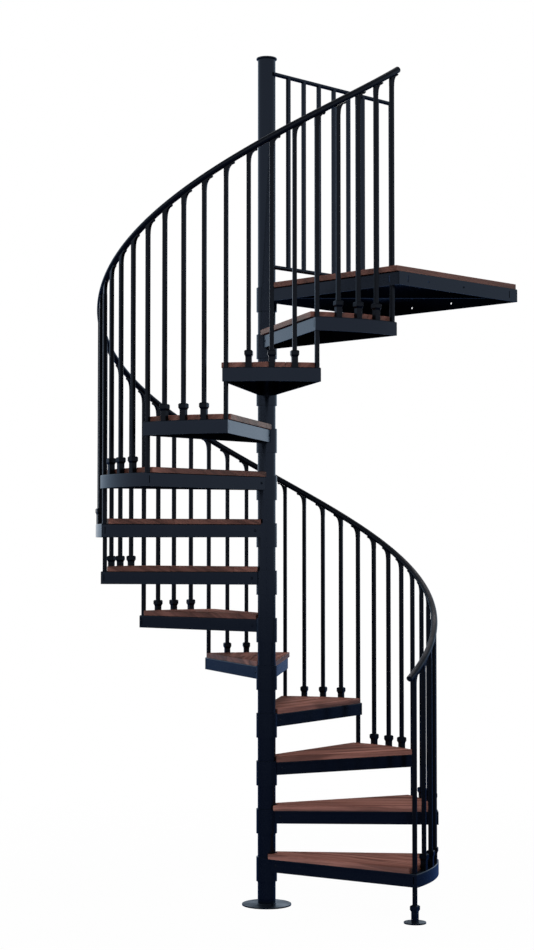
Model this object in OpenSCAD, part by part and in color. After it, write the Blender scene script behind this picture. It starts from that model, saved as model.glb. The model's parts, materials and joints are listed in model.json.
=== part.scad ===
// Spiral stair: twelve trays with wood tops round a pole, a square landing,
// square balusters and one helical handrail.
// Millimetres and degrees, Z up, origin on the pole's axis at floor level.
// The stair climbs anticlockwise, and the landing's arrival edge lies along +X.

/* [Stair] */
// Number of treads below the landing
tread_count = 12; // [8:1:12]
// Angle from one tread to the next
tread_pitch = 29; // [26:0.5:30]
// Height of each rise after the first
rise = 222; // [200:1:240]
// Height of the first rise, from the floor
first_rise = 243; // [220:1:260]
// Radius of the trays' curved outer face
stair_r = 800; // [700:5:900]

/* [Pole] */
// Outside diameter of the pole
pole_d = 84; // [76:1:90]
// Wall of the pole's tube
pole_wall = 4; // [3:0.5:8]
// Height of the pole's tube above the landing deck
pole_above_deck = 1067; // [1020:1:1200]
// Diameter of the base plate
base_d = 230; // [180:5:300]
// Thickness of the base plate
base_t = 6; // [5:0.5:12]
// Diameter of the pole's cap
cap_d = 98; // [94:1:120]
// Thickness of the cap's rim
cap_t = 10; // [5:0.5:14]
// Rounding of the cap's rim
cap_round = 4; // [2:0.5:4]
// Length of the cap's plug inside the tube
cap_plug = 24; // [10:1:60]

/* [Tread trays] */
// Height of the folded edges
tray_h = 61; // [50:1:80]
// Thickness of the sheet steel
sheet_t = 3; // [2:0.5:3]
// Outside radius of the folds along a tray's upper edges
fold_r = 5; // [3:0.5:6]
// Distance of a tray's straight edges from the pole's axis, at the hub
hub_offset = 29; // [26:1:34]
// Distance from a long baluster's middle to the edge it stands beside
bar_edge = 13; // [13:0.5:16]
// Distance from a baluster's middle to the tray's curved face
bar_inset = 16.5; // [14:0.5:20]
// Wall of the sleeve that clamps the pole
sleeve_wall = 6.2; // [5:0.2:9]
// Height of the sleeve
sleeve_h = 113; // [100:1:125]
// How far the sleeve stands above the tray
sleeve_proud = 5; // [2:0.5:10]
// Width of the slots for the long balusters' bolts
slot_w = 5; // [4:0.5:6]
// Height of those slots
slot_h = 34; // [20:1:40]
// Diameter of the hole at the hub end of each edge
hub_hole_d = 8; // [5:0.5:10]
// Distance of that hole from the sleeve
hub_hole_gap = 17; // [10:1:30]

/* [Wood tops] */
// Thickness of the wood
wood_t = 24; // [18:1:35]
// Overhang at the nosing
nosing = 11; // [5:1:20]
// Overhang at the back edge
back_overhang = 5; // [0:1:10]
// Gap from the wood's curved edge to the balusters
wood_gap = 6; // [5:0.5:15]
// Gap from the wood to the sleeve
hub_gap = 2.5; // [1:0.5:6]

/* [Balusters] */
// Width of the square tube
bar_w = 19; // [16:0.5:19]
// Corner radius of the square tube
bar_corner = 4.5; // [2:0.5:6]
// Balusters to each tread
bars_per_tread = 4; // [3:1:5]
// How far a long baluster stops above its tray's lower edge
bar_end_lift = 6; // [2:1:10]
// Height of a baluster's socket
socket_h = 73; // [60:1:90]
// Width of the socket's lower tube
socket_w = 27; // [25:0.5:30]
// Width of the socket's knob, at its rim
knob_w = 35.5; // [32:0.5:40]
// Height of the knob's rim
rim_h = 20; // [12:0.5:24]
// Height of the cup that narrows from the rim to the tube
cup_h = 9; // [6:1:26]
// How far the rim stands out from the cup
rim_step = 1.2; // [0.5:0.1:2]
// Bevel round the rim's top
rim_bevel = 4; // [1:0.5:5]
// Diameter of the disc under the first baluster
foot_d = 100; // [80:1:120]
// Thickness of that disc
foot_t = 6; // [4:0.5:10]

/* [Handrail] */
// Diameter of the handrail
rail_d = 29; // [25:1:45]
// Height of the handrail's middle above a tread, at its nosing
rail_h = 863; // [820:1:920]
// Length of the handrail past its first and last baluster
rail_past = 50; // [30:1:80]
// Length of the rounded plug that closes each end of the handrail
rail_nose = 7; // [4:0.5:14]
// Thickness of a saddle, across the handrail
saddle_w = 15; // [10:0.5:18]
// Height of a saddle below the handrail's middle
saddle_drop = 57; // [50:1:70]
// Reach of a saddle up the slope
saddle_reach = 38; // [33:1:55]
// Thickness of a saddle's plate under the handrail
saddle_tip = 5; // [3:0.5:7]
// Length of the toe at the plate's end
toe_l = 8; // [5:0.5:14]
// How far the toe stands down from the plate
toe_drop = 1.5; // [1:0.5:4]

/* [Landing] */
// Side of the landing along its guard
landing_side = 850; // [820:5:950]
// How far the landing's arrival edge reaches past the trays' radius
landing_past = 37; // [10:1:140]
// Inset of the deck at the two edges fixed to the building
deck_inset = 5; // [0:1:15]
// Diameter of the bolt holes in those edges
bolt_d = 10; // [8:0.5:14]
// Distance of the first bolt hole from the inner end of its edge
bolt_first = 200; // [120:5:300]
// Distance between the two bolt holes
bolt_pitch = 250; // [200:5:350]
// Distance of the slots from an edge's ends
slot_end = 60; // [45:1:90]
// Thickness of the diagonal stiffener
stiffener_t = 5; // [4:0.5:8]
// Depth of the diagonal stiffener
stiffener_h = 40; // [20:1:45]

/* [Landing guard] */
// Height of the guard's top above the deck
guard_h = 1005; // [900:1:1060]
// Gap from the deck to the guard's lower rail
guard_gap = 67; // [40:1:110]
// Diameter of the guard's round rails
guard_rail_d = 20; // [20:0.5:26]
// Distance of the guard's middle plane from the pole's axis
guard_offset = 40; // [30:1:60]
// Balusters in the guard
guard_bars = 7; // [5:1:9]

/* [Fits] */
// Gap round a tube that passes through a sleeve, sheet or socket
slide_fit = 0.3; // [0.2:0.05:0.4]
// Gap between a saddle and the handrail
seat_fit = 0.3; // [0.1:0.05:0.5]

/* [Hidden] */
metal = [0.13, 0.135, 0.18];
wood = [0.45, 0.275, 0.24];
arc_fn = 128;
// Cuts run this far past the faces they open
past = 1;

landing_level = tread_count + 1;
bar_pitch = tread_pitch / bars_per_tread;
bar_count = tread_count * bars_per_tread;
bar_r = stair_r - bar_inset;
sleeve_d = pole_d + 2 * (slide_fit + sleeve_wall);
wood_r = bar_r - bar_w / 2 - wood_gap;
hub_cut_r = sleeve_d / 2 + hub_gap;
pole_top = tread_top(landing_level) + pole_above_deck;
// Angle between a tray's straight edge and its middle line
edge_angle = tread_pitch / 2 - asin((hub_offset - bar_edge) / bar_r);
landing_low = -bar_edge;
landing_far_x = stair_r + landing_past;
landing_far_y = landing_side - bar_edge;
// The handrail's climb for one degree of turn, and its slope
rail_climb = rise / tread_pitch;
rail_slope = atan(rail_climb / (bar_r * PI / 180));
rail_past_turn = rail_past * cos(rail_slope) / (bar_r * PI / 180);

function tread_name(k, piece) = str("tread_", k < 10 ? "0" : "", k, "_", piece);
function tread_top(k) = first_rise + (k - 1) * rise;
function tray_top(k) = tread_top(k) - wood_t;
function tread_angle(k) = (k - 0.5 - tread_count) * tread_pitch;
function bar_angle(i) = (i - bar_count) * bar_pitch;
function is_long(i) = i % bars_per_tread == 0;
function bar_tread(i) = floor(i / bars_per_tread) + 1;
// Height of the handrail's middle at a given turn from the last baluster
function rail_z(turn) = tread_top(1) + rail_h + (turn + bar_count * bar_pitch) * rail_climb;

// Corners of a square with round corners, n chords to each
function round_square(w, r, n = 4) = [
    for (q = [0:3], s = [0:n])
        let (a = 90 * q + 90 * s / n, c = w / 2 - r)
        [(q == 0 || q == 3 ? c : -c) + r * cos(a), (q < 2 ? c : -c) + r * sin(a)]
];

// Point on a curve from p0 to p2 that p1 draws toward itself
function bend(p0, p1, p2, t) = (1 - t) * (1 - t) * p0 + 2 * t * (1 - t) * p1 + t * t * p2;

module bar_section(gap = 0) {
    polygon(round_square(bar_w + 2 * gap, bar_corner + gap));
}

module at_bar(i) {
    rotate(bar_angle(i)) translate([bar_r, 0, 0]) children();
}

// Section of a folded tray toward an edge at X 0, its metal on the -X side over the given reach
function fold_section(reach) = concat(
    [[-reach, -tray_h], [0, -tray_h]],
    [for (a = [0:22.5:90]) [fold_r * (cos(a) - 1), fold_r * (sin(a) - 1)]],
    [[-reach, 0]]
);

module at_tread(k) {
    rotate(tread_angle(k)) translate([0, 0, tray_top(k)]) children();
}

// Plan of a tread: straight front and back edges moved out by the given amounts, and an arc
module tread_plan(front, back, r) {
    along = [cos(edge_angle), sin(edge_angle)];
    across = [-sin(edge_angle), cos(edge_angle)];
    back_start = (hub_offset + back) * across;
    front_start = (hub_offset + front) * across;
    back_end = back_start + 1.2 * r * along;
    front_end = front_start + 1.2 * r * along;
    intersection() {
        circle(r, $fn = arc_fn);
        polygon([
            [front_start.x, -front_start.y],
            [front_end.x, -front_end.y],
            back_end,
            back_start
        ]);
    }
}

// Sleeve round the pole, measured from the tray's top
module sleeve() {
    translate([0, 0, sleeve_proud - sleeve_h]) cylinder(d = sleeve_d, h = sleeve_h, $fn = 64);
}

module sleeve_bore() {
    translate([0, 0, sleeve_proud - sleeve_h - past])
        cylinder(d = pole_d + 2 * slide_fit, h = sleeve_h + 2 * past, $fn = 64);
}

module bar_hole(depth) {
    translate([0, 0, -depth]) linear_extrude(depth + past) bar_section(slide_fit);
}

// Upright slot through a plate that faces Y, centred at the origin
module slot() {
    straight = slot_h - slot_w;
    translate([0, 0, -straight / 2]) rotate([90, 0, 0])
        cylinder(d = slot_w, h = 4 * sheet_t, center = true, $fn = 24);
    translate([0, 0, straight / 2]) rotate([90, 0, 0])
        cylinder(d = slot_w, h = 4 * sheet_t, center = true, $fn = 24);
    cube([slot_w, 4 * sheet_t, straight], center = true);
}

// Openings in one straight edge of a tray: a bolt slot at its baluster and a hole at the hub
module edge_openings(side) {
    reach = bar_r * cos(tread_pitch / 2 - edge_angle);
    rotate(side * edge_angle) translate([0, side * (hub_offset - sheet_t / 2), -tray_h / 2]) {
        translate([reach, 0, 0]) slot();
        translate([sleeve_d / 2 + hub_hole_gap, 0, 0]) rotate([90, 0, 0])
            cylinder(d = hub_hole_d, h = 4 * sheet_t, center = true, $fn = 24);
    }
}

// All that lies inside the fold of a straight edge along X
module straight_fold() {
    rotate([90, 0, 90]) linear_extrude(2.4 * stair_r, center = true)
        translate([hub_offset, 0]) polygon(fold_section(2 * stair_r));
}

// Outside of a tray, with folds along its two straight edges and its curved face
module tray_block() {
    intersection() {
        translate([0, 0, -tray_h - past]) linear_extrude(tray_h + 2 * past)
            tread_plan(past, past, stair_r + past);
        rotate_extrude($fn = arc_fn) translate([stair_r, 0]) polygon(fold_section(stair_r));
        rotate(edge_angle) straight_fold();
        mirror([0, 1, 0]) rotate(edge_angle) straight_fold();
    }
}

// Steel tray, open below, with its sleeve
module tread_frame(k) {
    color(metal) at_tread(k) difference() {
        union() {
            tray_block();
            sleeve();
        }
        difference() {
            translate([0, 0, -tray_h - past]) linear_extrude(tray_h - sheet_t + past)
                tread_plan(-sheet_t, -sheet_t, stair_r - sheet_t);
            sleeve();
        }
        sleeve_bore();
        for (side = [-1, 1]) {
            rotate(side * tread_pitch / 2) translate([bar_r, 0, 0]) bar_hole(2 * sheet_t);
            edge_openings(side);
        }
    }
}

module tread_wood(k) {
    color(wood) at_tread(k) linear_extrude(wood_t) difference() {
        tread_plan(nosing, back_overhang, wood_r);
        circle(hub_cut_r, $fn = 64);
    }
}

module base_plate() {
    color(metal) cylinder(d = base_d, h = base_t, $fn = arc_fn);
}

module pole() {
    color(metal) translate([0, 0, base_t]) difference() {
        cylinder(d = pole_d, h = pole_top - base_t, $fn = 64);
        translate([0, 0, -past])
            cylinder(d = pole_d - 2 * pole_wall, h = pole_top - base_t + 2 * past, $fn = 64);
    }
}

module pole_cap() {
    plug_r = pole_d / 2 - pole_wall - slide_fit;
    rim_r = cap_d / 2;
    edge_r = min(cap_round, 0.4 * cap_t);
    color(metal) translate([0, 0, pole_top]) rotate_extrude($fn = 64) polygon(concat(
        [[0, -cap_plug], [plug_r, -cap_plug], [plug_r, 0]],
        [for (a = [-90:15:0]) [rim_r - edge_r * (1 - cos(a)), edge_r * (1 + sin(a))]],
        [for (a = [0:15:90]) [rim_r - edge_r * (1 - cos(a)), cap_t - edge_r * (1 - sin(a))]],
        [[0, cap_t]]
    ));
}

// A socket's half width and height at each level, from its foot to its top
function socket_side() = [
    [socket_w / 2, 0],
    [socket_w / 2, socket_h - rim_h - cup_h],
    [knob_w / 2 - rim_step, socket_h - rim_h - rim_step],
    [knob_w / 2, socket_h - rim_h],
    [knob_w / 2, socket_h - rim_bevel],
    [knob_w / 2 - rim_bevel, socket_h]
];

// Distance from the middle of a rounded square to its corner
function corner_reach(half) = (half - bar_corner) * sqrt(2) + bar_corner;

// Square base fitting with tapered sides and rounded corners, without its bore
module socket_body() {
    side = socket_side();
    last = len(side) - 1;
    outline = concat(side, [for (j = [last:-1:0]) [-side[j].x, side[j].y]]);
    intersection() {
        rotate([90, 0, 0]) linear_extrude(2 * knob_w, center = true) polygon(outline);
        rotate([90, 0, 90]) linear_extrude(2 * knob_w, center = true) polygon(outline);
        rotate_extrude($fn = 48) polygon(concat(
            [[0, 0]], [for (p = side) [corner_reach(p.x), p.y]], [[0, socket_h]]
        ));
    }
}

module socket() {
    difference() {
        socket_body();
        translate([0, 0, -past]) linear_extrude(socket_h + 2 * past) bar_section(slide_fit);
    }
}

module baluster_sockets() {
    color(metal) for (i = [1:bar_count - 1])
        if (!is_long(i)) at_bar(i) translate([0, 0, tray_top(bar_tread(i))]) socket();
}

// Disc and fitting that carry the first baluster on the floor
module floor_foot() {
    color(metal) at_bar(0) {
        cylinder(d = foot_d, h = foot_t, $fn = 64);
        translate([0, 0, foot_t]) socket();
    }
}

module baluster(i, foot_z) {
    top_z = rail_z(bar_angle(i)) - saddle_drop;
    at_bar(i) translate([0, 0, foot_z]) linear_extrude(top_z - foot_z) bar_section();
}

// Each long baluster ties a tray's back corner to the next tray's front corner
module long_balusters() {
    color(metal) for (m = [0:tread_count])
        baluster(m * bars_per_tread, m == 0 ? foot_t : tray_top(m) - tray_h + bar_end_lift);
}

module short_balusters() {
    color(metal) for (i = [1:bar_count - 1])
        if (!is_long(i)) baluster(i, tray_top(bar_tread(i)));
}

// Height of the handrail's underside at a distance up the slope, from its middle at the baluster
function under_rail(y) = y * tan(rail_slope) - (rail_d / 2 + seat_fit) / cos(rail_slope);

// Bracket from a baluster's top to the handrail, swept out to the uphill side
module saddle() {
    half = bar_w / 2;
    toe = saddle_reach - toe_l;
    plate_end = [toe, under_rail(toe) - saddle_tip];
    hollow = [half, under_rail(half) - saddle_tip];
    rotate([90, 0, 90]) linear_extrude(saddle_w, center = true) polygon(concat(
        [[-half, under_rail(-half)], [-half, -saddle_drop]],
        [for (t = [0:0.125:1]) bend([half, -saddle_drop], hollow, plate_end, t)],
        [
            [toe, under_rail(toe) - saddle_tip - toe_drop],
            [saddle_reach, under_rail(saddle_reach) - saddle_tip - toe_drop],
            [saddle_reach, under_rail(saddle_reach)]
        ]
    ));
}

module handrail_saddles() {
    color(metal) for (i = [0:bar_count])
        at_bar(i) translate([0, 0, rail_z(bar_angle(i))]) saddle();
}

// Stations along the handrail: turn and radius, with a rounded plug at each end
rail_sides = 16;
rail_step = bar_pitch / 2;
nose_steps = [70, 40, 15];
nose_turn = rail_nose * cos(rail_slope) / (bar_r * PI / 180);
rail_low = -bar_count * bar_pitch - rail_past_turn + nose_turn;
rail_high = rail_past_turn - nose_turn;
rail_runs = ceil((rail_high - rail_low) / rail_step);
rail_stations = concat(
    [for (a = nose_steps) [rail_low - nose_turn * sin(a), rail_d / 2 * cos(a)]],
    [for (s = [0:rail_runs]) [rail_low + (rail_high - rail_low) * s / rail_runs, rail_d / 2]],
    [for (j = [len(nose_steps) - 1:-1:0])
        [rail_high + nose_turn * sin(nose_steps[j]), rail_d / 2 * cos(nose_steps[j])]]
);

// Ring of points square to the helix at one station
function rail_ring(turn, r) = [
    for (s = [0:rail_sides - 1])
        let (a = 360 * s / rail_sides, out = r * cos(a), up = r * sin(a))
        [
            (bar_r + out) * cos(turn) + up * sin(rail_slope) * sin(turn),
            (bar_r + out) * sin(turn) - up * sin(rail_slope) * cos(turn),
            rail_z(turn) + up * cos(rail_slope)
        ]
];

module handrail() {
    n = rail_sides;
    last = len(rail_stations) - 1;
    points = [for (p = rail_stations) each rail_ring(p[0], p[1])];
    walls = [
        for (j = [0:last - 1], s = [0:n - 1])
            let (a = j * n + s, b = j * n + (s + 1) % n)
            each [[a, b, b + n], [a, b + n, a + n]]
    ];
    ends = [[for (s = [n - 1:-1:0]) s], [for (s = [0:n - 1]) last * n + s]];
    color(metal) polyhedron(points, concat(walls, ends));
}

// Section of the landing's tray between two edges, with a fold at the top of each
function folded_span(low, high) = concat(
    [[low, -tray_h], [high, -tray_h]],
    [for (a = [0:22.5:90]) [high + fold_r * (cos(a) - 1), fold_r * (sin(a) - 1)]],
    [for (a = [90:22.5:180]) [low + fold_r * (cos(a) + 1), fold_r * (sin(a) - 1)]]
);

module landing_block() {
    reach = 2 * max(landing_far_x, landing_far_y);
    intersection() {
        rotate([90, 0, 0]) linear_extrude(2 * reach, center = true)
            polygon(folded_span(landing_low, landing_far_x));
        rotate([90, 0, 90]) linear_extrude(2 * reach, center = true)
            polygon(folded_span(landing_low, landing_far_y));
    }
}

module landing_plan(inset) {
    low = landing_low + inset;
    translate([low, low]) square([landing_far_x - inset - low, landing_far_y - inset - low]);
}

// Slots and bolt holes of an outer edge, and the slot of the inner edge opposite, along X
module landing_edge_openings(far_x, far_y) {
    translate([0, far_y - sheet_t / 2, -tray_h / 2]) {
        for (x = [landing_low + slot_end, far_x - slot_end]) translate([x, 0, 0]) slot();
        for (j = [0:1]) translate([landing_low + bolt_first + j * bolt_pitch, 0, 0])
            rotate([90, 0, 0]) cylinder(d = bolt_d, h = 4 * sheet_t, center = true, $fn = 32);
    }
    translate([far_x - slot_end, landing_low + sheet_t / 2, -tray_h / 2]) slot();
}

// Tray of the landing, open below, with its sleeve and a stiffener to the far corner
module landing_frame() {
    corner = [landing_far_x - sheet_t, landing_far_y - sheet_t];
    color(metal) translate([0, 0, tray_top(landing_level)]) difference() {
        union() {
            difference() {
                landing_block();
                translate([0, 0, -tray_h - past]) linear_extrude(tray_h - sheet_t + past)
                    landing_plan(sheet_t);
            }
            sleeve();
            rotate(atan2(corner.y, corner.x)) translate([0, -stiffener_t / 2, -sheet_t - stiffener_h])
                cube([norm(corner), stiffener_t, stiffener_h + sheet_t / 2]);
        }
        sleeve_bore();
        translate([bar_r, 0, 0]) bar_hole(2 * sheet_t);
        landing_edge_openings(landing_far_x, landing_far_y);
        mirror([1, -1, 0]) landing_edge_openings(landing_far_y, landing_far_x);
    }
}

module landing_deck() {
    low = [landing_low - back_overhang, landing_low - nosing];
    high = [landing_far_x - deck_inset, landing_far_y - deck_inset];
    color(wood) translate([0, 0, tray_top(landing_level)]) linear_extrude(wood_t) difference() {
        translate(low) square(high - low);
        circle(hub_cut_r, $fn = 64);
        translate([bar_r, 0]) bar_section(slide_fit);
    }
}

// Panel beside the landing, from the pole to a post on the outer edge
module landing_guard() {
    post_y = landing_far_y + bar_w / 2;
    low_z = guard_gap + guard_rail_d / 2;
    high_z = guard_h - guard_rail_d / 2;
    gap = post_y / (guard_bars + 1);
    color(metal) translate([0, 0, tread_top(landing_level)]) difference() {
        translate([guard_offset, 0, 0]) {
            for (z = [low_z, high_z]) translate([0, 0, z]) rotate([-90, 0, 0])
                cylinder(d = guard_rail_d, h = post_y, $fn = 48);
            for (j = [1:guard_bars]) translate([0, j * gap, low_z])
                linear_extrude(high_z - low_z) bar_section();
            translate([0, post_y, -wood_t - tray_h])
                linear_extrude(guard_h + wood_t + tray_h) bar_section();
        }
        translate([0, 0, -past]) cylinder(d = pole_d + 2 * slide_fit, h = guard_h + 2 * past, $fn = 64);
    }
}

for (k = [1:tread_count]) {
    tread_frame(k);
    tread_wood(k);
}
base_plate();
pole();
pole_cap();
floor_foot();
landing_frame();
landing_deck();
landing_guard();
long_balusters();
short_balusters();
baluster_sockets();
handrail_saddles();
handrail();
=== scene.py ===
"""Spiral stair: wood boards, smooth handrail, small fasteners and finishes on the packed steel frame.

Metres and Z up, in the frame of the packed model: origin on the pole's axis at floor level.
The stair climbs anticlockwise to a landing in the +X +Y corner.
"""

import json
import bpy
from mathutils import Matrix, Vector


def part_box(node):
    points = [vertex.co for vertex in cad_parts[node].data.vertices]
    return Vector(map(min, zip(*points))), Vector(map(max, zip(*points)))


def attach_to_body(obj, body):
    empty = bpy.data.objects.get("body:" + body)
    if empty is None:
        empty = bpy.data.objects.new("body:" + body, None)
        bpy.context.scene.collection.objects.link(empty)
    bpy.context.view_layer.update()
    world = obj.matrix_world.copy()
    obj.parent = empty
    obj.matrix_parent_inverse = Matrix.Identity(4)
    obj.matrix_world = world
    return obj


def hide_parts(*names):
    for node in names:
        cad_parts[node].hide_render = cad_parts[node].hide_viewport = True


bl_info = {
    "name": "Spiral Stair Dressing",
    "version": (1, 0, 0),
    "blender": (4, 5, 0),
    "location": "3D View > Sidebar > Stair",
    "description": "Boards, handrail, fasteners, finishes and stage for a steel spiral stair",
    "category": "Object",
}

from math import asin, atan2, cos, pi, radians, sin, sqrt, tan
from typing import NamedTuple

import bmesh
import bpy
from bpy.props import FloatProperty, FloatVectorProperty, IntProperty, PointerProperty
from bpy.types import Material, Operator, Panel, PropertyGroup, Scene

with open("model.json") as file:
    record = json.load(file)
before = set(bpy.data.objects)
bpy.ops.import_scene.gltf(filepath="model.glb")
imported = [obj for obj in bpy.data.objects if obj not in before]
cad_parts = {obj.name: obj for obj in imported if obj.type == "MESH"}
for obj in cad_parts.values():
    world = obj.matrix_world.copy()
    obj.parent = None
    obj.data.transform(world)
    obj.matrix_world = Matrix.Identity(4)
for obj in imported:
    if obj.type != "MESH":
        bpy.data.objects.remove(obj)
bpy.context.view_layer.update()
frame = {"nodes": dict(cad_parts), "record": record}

BODY = "root"
WOOD_SLOT = "wood_top"
BAR_NODES = ("long_balusters", "short_balusters", "baluster_sockets", "handrail_saddles")
TREADS = sorted(name.removesuffix("_top") for name in frame["nodes"]
                if name.startswith("tread_") and name.endswith("_top"))
LEVELS = len(TREADS)

# Boards: steps along an outline's ends and round an upper edge, and how the tones follow each other.
OUTLINE_STEPS = 22
ROUND_STEPS = 3
FIRST_TONE = 0.5
TONE_STEP = 0.618034
LANDING_TONE = 3
# A face is end grain or a worn top when its normal passes these, along the board or upward. The other faces
# take the edge finish, darkened as painted shade.
END_FACING = 0.75
TOP_FACING = 0.3
# How far a board's tone shifts its grain, along and across.
TONE_SHIFT = (31.0, 17.0)
# What the cut for a baluster reaches past the boards.
CUT_PAST = 0.01

# Screw heads, in shares of their radius: height, and radius, depth and middle of the drive recess.
HEAD_SEGMENTS = 12
HEAD_RINGS = 6
HEAD_HEIGHT = 0.5
DRIVE_SIDES = 6
DRIVE_RADIUS = 0.42
DRIVE_DEPTH = 0.6
DRIVE_MIDDLE = 0.47
# Screws under each tray, in rows of two, and in the landing's rows along X and Y.
TRAY_SCREWS = 6
LANDING_ROWS = (4, 6)
# The landing's field of screws: its size in shares of the deck, its middle in shares of the corners' sum.
LANDING_FIELD = (0.72, 0.80)
LANDING_MIDDLE = (0.54, 0.50)
# Plugs in the balusters, in shares of the bar's width.
PLUG_WIDTH = 0.94
PLUG_ROUND = 0.2
# Weld bead: steps round the pole, sides, and the ripple's height and its turn at each step.
WELD_STEPS = 180
BEAD_SIDES = 10
RIPPLE = 0.12
RIPPLE_TURN = 1.05
# Share of the handrail's radius that is left at the end of its plugs.
PLUG_END = 0.02

# Place, target and side of each soft light.
LIGHTS = {
    "key_light": ((2.7, -2.7, 5.7), (0.12, 0.22, 0.45), 2.0),
    "fill_light": ((-2.6, 2.4, 3.6), (-0.25, 0.35, 1.0), 1.6),
    "bounce_light": ((0.2, -0.7, 0.03), (0.2, -0.7, 1.0), 4.0),
}
SENSOR_WIDTH = 36.0
FLOOR_CELLS = 8
# The sky's light falls off with this power of its height. In reflections it dims between these heights.
SKY_FALLOFF = 2.0
GLOSS_SKY = (0.2, 0.8)

# Share of the powder coat's shine that is metallic.
COAT_METAL = 0.9


class GrainLayer(NamedTuple):
    """One noise of the wood: waves to the metre along and across a board, and what bends and parts them."""

    along: float
    across: float
    sway: float = 0.0
    tone: float = 1.0
    shift: float = 0.0
    detail: float = 2.0
    distortion: float = 0.0


GRAIN = {
    "sway": GrainLayer(1.7, 4.0),
    "bands": GrainLayer(1.5, 21.0, sway=2.0, tone=7.0, distortion=0.4),
    "figure": GrainLayer(1.8, 52.0, sway=4.0, tone=9.0, detail=4.0, distortion=0.6),
    "streaks": GrainLayer(5.0, 210.0, tone=5.0, detail=3.0),
    "pores": GrainLayer(26.0, 700.0, detail=1.0),
    "veins": GrainLayer(1.6, 19.0, sway=1.5, tone=3.0, shift=5.0, distortion=0.8),
}


def node_high(node, axis):
    """Highest coordinate of a node of the frame along an axis."""
    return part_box(node)[1][axis]


def decimal(name, description, default, **kind):
    """A plain number."""
    return FloatProperty(name=name, description=description, default=default, **kind)


def whole(name, description, default, least):
    """A whole number."""
    return IntProperty(name=name, description=description, default=default, min=least)


def length(name, description, default):
    """A size in metres."""
    return decimal(name, description, default, unit="LENGTH", precision=4)


def angle(name, description, degrees):
    """An angle, given in degrees."""
    return decimal(name, description, radians(degrees), subtype="ANGLE")


def share(name, description, default):
    """A number from 0 to 1."""
    return decimal(name, description, default, subtype="FACTOR", min=0.0, max=1.0)


def colour(name, description, default):
    """A linear colour."""
    return FloatVectorProperty(name=name, description=description, default=default, size=3, subtype="COLOR",
                               min=0.0, max=1.0)


class StairSizes(PropertyGroup):
    """Sizes of the stair itself, as the frame has them."""

    tread_pitch: angle("Tread pitch", "Turn from one tread to the next", 29.0)
    first_top: length("First tread", "Height of the first tread's top", node_high("tread_01_top", 2))
    rise: length("Rise", "Height from one tread to the next",
                 node_high("tread_02_top", 2) - node_high("tread_01_top", 2))
    wood_thick: length("Wood thickness", "Thickness of the wood tops",
                       node_high("tread_01_top", 2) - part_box("tread_01_top")[0][2])
    sheet: length("Sheet", "Thickness of the trays' sheet steel", 0.003)
    bars_per_tread: whole("Balusters", "Balusters to each tread", 4, 1)
    bar_radius: length("Baluster circle", "Distance of the balusters from the axis", 0.7835)
    bar_width: length("Baluster width", "Width of a baluster's square tube", 0.019)
    pole_radius: length("Pole radius", "Outside radius of the pole", node_high("pole", 0))


class BoardSizes(PropertyGroup):
    """Sizes of the wood tops."""

    nose_offset: length("Nosing line", "Distance of a tread's front edge from the axis", 0.040)
    back_offset: length("Back line", "Distance of a tread's back edge from the axis", 0.034)
    edge_angle: angle("Edge angle", "Angle between a tread's edges and its middle line", 13.33)
    outer_radius: length("Outer radius", "Radius of a tread's curved edge", 0.768)
    hub_radius: length("Hub cut", "Radius of the cut round the pole's sleeve", 0.051)
    tread_boards: whole("Tread boards", "Boards in one tread", 3, 1)
    landing_boards: whole("Landing boards", "Boards in the landing", 6, 1)
    seam: length("Seam", "Gap between two boards", 0.0015)
    round_over: length("Round over", "Rounding of the boards' upper edges", 0.0025)
    tip: length("Tip", "Width left at the sharp back corner of a tread", 0.006)
    bar_fit: length("Baluster fit", "Gap round the baluster that passes through the landing", 0.0003)


class RailSizes(PropertyGroup):
    """Sizes of the handrail."""

    radius: length("Tube radius", "Outside radius of the handrail", 0.0145)
    first_height: length("First height", "Height of the handrail's middle at the first baluster", 1.106)
    past: length("Past the ends", "Length past the first and the last baluster", 0.050)
    nose: length("End plug", "Length of the rounded plug at each end", 0.007)
    nose_rings: whole("Plug rings", "Rings in a plug's rounding", 6, 2)
    rings: whole("Rings", "Rings along the handrail", 360, 8)
    sides: whole("Sides", "Sides of the handrail's tube", 32, 8)
    seat: length("Seat gap", "Gap between a saddle and the handrail", 0.0003)


class FastenerSizes(PropertyGroup):
    """Sizes of screws, plugs and weld beads."""

    saddle_head: length("Saddle screw", "Radius of the screw heads under the saddles", 0.0046)
    saddle_reach: length("Saddle screw place", "Distance of that screw up the slope from its baluster", 0.034)
    saddle_depth: length("Saddle depth", "Thickness of a saddle at its toe", 0.0065)
    set_head: length("Set screw", "Radius of the set screws in the baluster sockets", 0.0032)
    set_height: length("Set screw height", "Height of a set screw above the tray", 0.024)
    socket_half: length("Socket half width", "Half the width of a socket's tube", 0.0135)
    tray_head: length("Tray screw", "Radius of the screw heads that hold the wood", 0.0065)
    tray_first: length("Tray screws start", "Distance of the first tray screws from the axis", 0.200)
    tray_step: length("Tray screws step", "Distance between the rows of tray screws", 0.235)
    tray_spread: angle("Tray screws spread", "Turn of the tray screws from a tread's middle line", 7.0)
    plug_lift: length("Bar end", "Height of a long baluster's end above its tray's lower edge", 0.006)
    plug_thick: length("Plug thickness", "Thickness of the plug in a long baluster's end", 0.003)
    tray_depth: length("Tray depth", "Height of a tray's folded edges", 0.061)
    hub_head: length("Hub screw", "Radius of the screw heads at the hub end of a tray's edges", 0.0065)
    hub_reach: length("Hub screw place", "Distance of that screw along its edge from the axis", 0.0655)
    hub_offset: length("Edge line", "Distance of a tray's straight edges from the axis", 0.029)
    bead: length("Weld bead", "Radius of the weld bead round the pole's foot", 0.0035)


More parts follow.
